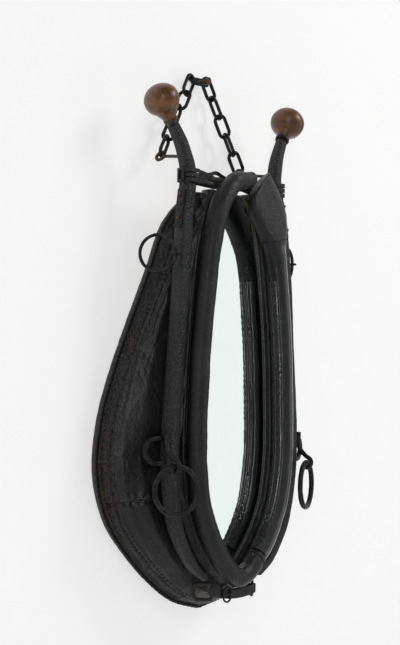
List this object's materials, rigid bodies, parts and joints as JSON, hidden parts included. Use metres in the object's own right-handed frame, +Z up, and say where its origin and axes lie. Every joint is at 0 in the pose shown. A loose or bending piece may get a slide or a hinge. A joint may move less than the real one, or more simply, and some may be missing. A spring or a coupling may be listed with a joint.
{
  "type": "horse collar mirror",
  "caption": "Stuffed black leather horse collar with wooden-knobbed hames and iron rings, hung by a chain on a nail, with a mirror filling its opening.",
  "frame": {"origin": "where the nail that carries the chain leaves the wall, on the nail's axis; the wall is the plane Y = 0", "axes": "+Z up, -Y out of the wall towards the viewer, +X to the viewer's right facing the mirror"},
  "size_m": [0.4836, 0.1648, 0.8675],
  "materials": {
    "chain_iron": "blackened steel chain, slightly dusty, satin",
    "rusty_iron": "rust-brown wrought iron hook",
    "forged_iron": "forge-black iron with rust spots",
    "hame_black": "pebbled black leather glued over an ash hame",
    "knob_wood": "turned hardwood, dark glossy varnish",
    "roll_leather": "stuffed black leather roll, waxed satin",
    "body_leather": "black harness leather, worn and creased, red-brown wear at the rim",
    "strap_leather": "dull black strap leather",
    "piping_leather": "dull black whip-stitched piping",
    "straw": "packed rye straw, hidden",
    "canvas": "coarse woven lining",
    "mirror_silver": "silvered plate glass",
    "backing_board": "plain thin board",
    "mirror_cord": "twisted grey-beige cord"
  },
  "bodies": {
    "wall": {"wall_nail": "forged_iron"},
    "chain": {"chain_link_top": "chain_iron", "chain_link_left_1": "chain_iron", "chain_link_left_2": "chain_iron", "chain_link_left_3": "chain_iron", "chain_link_left_4": "chain_iron", "chain_link_left_5": "chain_iron", "chain_link_right_1": "chain_iron", "chain_link_right_2": "chain_iron", "chain_link_right_3": "chain_iron", "chain_link_right_4": "chain_iron", "chain_link_right_5": "chain_iron"},
    "collar": {"chain_hook_left": "rusty_iron", "chain_hook_right": "rusty_iron", "hame_left": "hame_black", "hame_right": "hame_black", "knob_left": "knob_wood", "knob_right": "knob_wood", "ferrule_left": "forged_iron", "ferrule_right": "forged_iron", "hame_plate_left": "forged_iron", "hame_plate_right": "forged_iron", "rivet_left_upper": "forged_iron", "rivet_left_lower": "forged_iron", "rivet_right_upper": "forged_iron", "rivet_right_lower": "forged_iron", "terret_eye_left": "forged_iron", "terret_eye_right": "forged_iron", "draft_staple_left": "forged_iron", "draft_staple_right": "forged_iron", "draft_hook_left": "forged_iron", "draft_hook_right": "forged_iron", "hame_loop_left": "forged_iron", "hame_loop_right": "forged_iron", "buckle_frame": "forged_iron", "lashing_upper": "strap_leather", "lashing_middle": "strap_leather", "lashing_lower": "strap_leather", "lashing_knot": "strap_leather", "bottom_strap": "strap_leather", "front_roll_left": "roll_leather", "front_roll_right": "roll_leather", "top_cap": "roll_leather", "body_leather_left": "body_leather", "body_leather_right": "body_leather", "straw_core_left": "straw", "straw_core_right": "straw", "back_lining_left": "canvas", "back_lining_right": "canvas", "rim_piping_left": "piping_leather", "rim_piping_right": "piping_leather", "mirror_glass": "mirror_silver", "mirror_backing": "backing_board", "mirror_cord": "mirror_cord"},
    "rein_ring_left": {"terret_ring_left": "forged_iron"},
    "rein_ring_right": {"terret_ring_right": "forged_iron"},
    "tug_ring_left": {"draft_ring_left": "forged_iron"},
    "tug_ring_right": {"draft_ring_right": "forged_iron"},
    "strap_tongue": {"buckle_tongue": "forged_iron"}
  },
  "joints": [
    {"name": "hang_swing", "type": "hinge", "parent": "wall", "child": "chain", "pos_m": [0, -0.015, 0], "axis": [0, 1, 0], "range_deg": [-8, 8]},
    {"name": "collar_tilt", "type": "hinge", "parent": "chain", "child": "collar", "pos_m": [-0.00884, -0.03111, -0.13735], "axis": [-0.9987, 0, 0.0518], "range_deg": [0, 25]},
    {"name": "rein_ring_left_swing", "type": "hinge", "parent": "collar", "child": "rein_ring_left", "pos_m": [-0.1489, -0.09949, -0.29056], "axis": [0, 0, 1], "range_deg": [-8, 95]},
    {"name": "rein_ring_right_swing", "type": "hinge", "parent": "collar", "child": "rein_ring_right", "pos_m": [0.1489, -0.09949, -0.29056], "axis": [0, 0, -1], "range_deg": [-8, 95]},
    {"name": "tug_ring_left_swing", "type": "hinge", "parent": "collar", "child": "tug_ring_left", "pos_m": [-0.166, -0.122, -0.618], "axis": [-0.9272, 0.3746, 0], "range_deg": [0, 85]},
    {"name": "tug_ring_right_swing", "type": "hinge", "parent": "collar", "child": "tug_ring_right", "pos_m": [0.166, -0.122, -0.618], "axis": [-0.9272, -0.3746, 0], "range_deg": [0, 85]},
    {"name": "buckle_tongue_lift", "type": "hinge", "parent": "collar", "child": "strap_tongue", "pos_m": [-0.014, -0.114, -0.8241], "axis": [0, 0, 1], "range_deg": [0, 45]}
  ]
}
